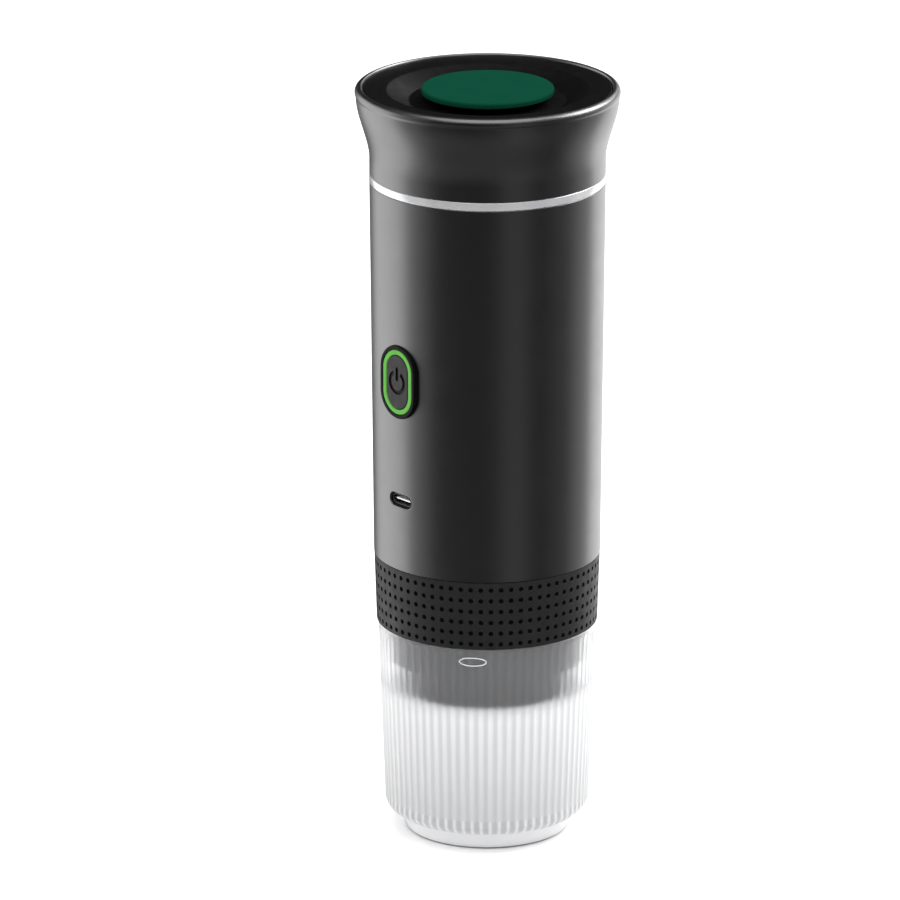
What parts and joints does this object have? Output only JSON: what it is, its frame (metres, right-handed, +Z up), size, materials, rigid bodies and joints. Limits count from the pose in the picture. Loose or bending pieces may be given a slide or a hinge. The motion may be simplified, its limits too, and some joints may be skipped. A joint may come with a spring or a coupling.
{
  "type": "portable espresso maker",
  "caption": "Portable battery espresso maker: flared gunmetal body with tank lid and lit button, dotted twist-off capsule head and a fluted frosted cup.",
  "frame": {"origin": "centre of the foot of the cup on the table", "axes": "+Z up along the axis of the body; the button and the charging port face -Y"},
  "size_m": [0.0824, 0.0824, 0.2412],
  "materials": {
    "shell_paint": "satin gunmetal lacquer with fine metal flake",
    "trim_metal": "bright turned metal",
    "tank_plastic": "moulded, food safe",
    "seal_dark": "soft silicone",
    "seal_red": "soft silicone",
    "hose_silicone": "translucent silicone",
    "steel": "stainless steel",
    "frame_plastic": "moulded",
    "heater_alloy": "cast and machined",
    "element_sheath": "heat-tinted sheath",
    "cutout_body": "phenolic",
    "wire_cover": "insulated wire",
    "pump_plastic": "glass-filled moulding",
    "standoff_brass": "turned",
    "cell_wrap": "shrink sleeve over a metal cell",
    "nickel": "nickel strip",
    "motor_steel": "plated steel can",
    "magnet": "ferrite",
    "winding_copper": "enamelled copper on laminations",
    "board_laminate": "solder mask",
    "chip_black": "moulded",
    "light_green": "translucent light pipe",
    "bezel_black": "satin black",
    "button_grey": "fine texture",
    "gear_plastic": "moulded",
    "lid_black": "fine satin",
    "disc_green": "satin dark green",
    "grip_rubber": "dimpled soft rubber",
    "head_grey": "moulded",
    "cup_frosted": "frosted, fluted, see-through"
  },
  "bodies": {
    "body": {"main_shell": "shell_paint", "trim_ring": "trim_metal", "top_collar": "shell_paint", "water_tank": "tank_plastic", "tank_gasket": "seal_dark", "tank_filter": "steel", "feed_hose": "hose_silicone", "brew_plate": "frame_plastic", "piercing_needle": "steel", "heater_block": "heater_alloy", "heating_element": "element_sheath", "heater_seal": "seal_red", "thermal_cutout": "cutout_body", "wire_leads": "wire_cover", "link_hose": "hose_silicone", "pump_body": "pump_plastic", "pump_cover": "pump_plastic", "pump_screws": "steel", "idler_pin": "steel", "shaft_seal": "seal_dark", "chassis_deck": "frame_plastic", "standoffs": "standoff_brass", "tie_screws": "steel", "battery_cell_1": "cell_wrap", "battery_cell_2": "cell_wrap", "battery_cell_3": "cell_wrap", "battery_links": "nickel", "battery_cap": "frame_plastic", "motor_can": "motor_steel", "motor_cap": "frame_plastic", "motor_magnets": "magnet", "control_board": "board_laminate", "board_parts": "chip_black", "board_screws": "steel", "button_switch": "chip_black", "light_ring": "light_green", "button_bezel": "bezel_black", "usb_shell": "steel", "usb_tongue": "chip_black", "usb_liner": "bezel_black"},
    "rotor": {"motor_shaft": "steel", "motor_rotor": "winding_copper", "drive_gear": "gear_plastic"},
    "idler": {"idler_gear": "gear_plastic"},
    "button": {"power_button": "button_grey"},
    "lid": {"lid_dish": "lid_black", "lid_base": "lid_black", "lid_seal": "seal_dark", "lid_spring": "steel"},
    "lid_button": {"lid_disc": "disc_green", "vent_stem": "lid_black", "vent_valve": "seal_dark"},
    "brew_seal": {"brew_gasket": "seal_red"},
    "brew_head": {"grip_sleeve": "grip_rubber", "brew_housing": "head_grey", "spout_cover": "head_grey", "cover_screws": "steel", "capsule_basket": "steel", "cup_seal": "seal_dark"},
    "cup": {"cup": "cup_frosted"}
  },
  "joints": [
    {"name": "lid_lift", "type": "slide", "parent": "body", "child": "lid", "axis": [0, 0, 1], "range_m": [0, 0.04]},
    {"name": "lid_press", "type": "slide", "parent": "lid", "child": "lid_button", "axis": [0, 0, -1], "range_m": [0, 0.0012], "stiffness_N_per_m": 800, "springref_m": -0.002, "deforming": ["lid_spring"]},
    {"name": "power_press", "type": "slide", "parent": "body", "child": "button", "axis": [0, 1, 0], "range_m": [0, 0.0008], "stiffness_N_per_m": 600, "springref_m": -0.002},
    {"name": "brew_drop", "type": "slide", "parent": "body", "child": "brew_seal", "axis": [0, 0, -1], "range_m": [0, 0.04]},
    {"name": "brew_twist", "type": "hinge", "parent": "brew_seal", "child": "brew_head", "pos_m": [0, 0, 0.0849], "axis": [0, 0, 1], "range_deg": [0, 45]},
    {"name": "cup_drop", "type": "slide", "parent": "brew_head", "child": "cup", "axis": [0, 0, -1], "range_m": [0, 0.035]},
    {"name": "motor_spin", "type": "hinge", "parent": "body", "child": "rotor", "pos_m": [0, 0, 0.1349], "axis": [0, 0, 1], "continuous": true},
    {"name": "idler_spin", "type": "hinge", "parent": "body", "child": "idler", "pos_m": [0.0112, 0, 0.1125], "axis": [0, 0, 1], "continuous": true}
  ],
  "couplings": [
    {"joint": "idler_spin", "follows": "motor_spin", "ratio": -1}
  ]
}
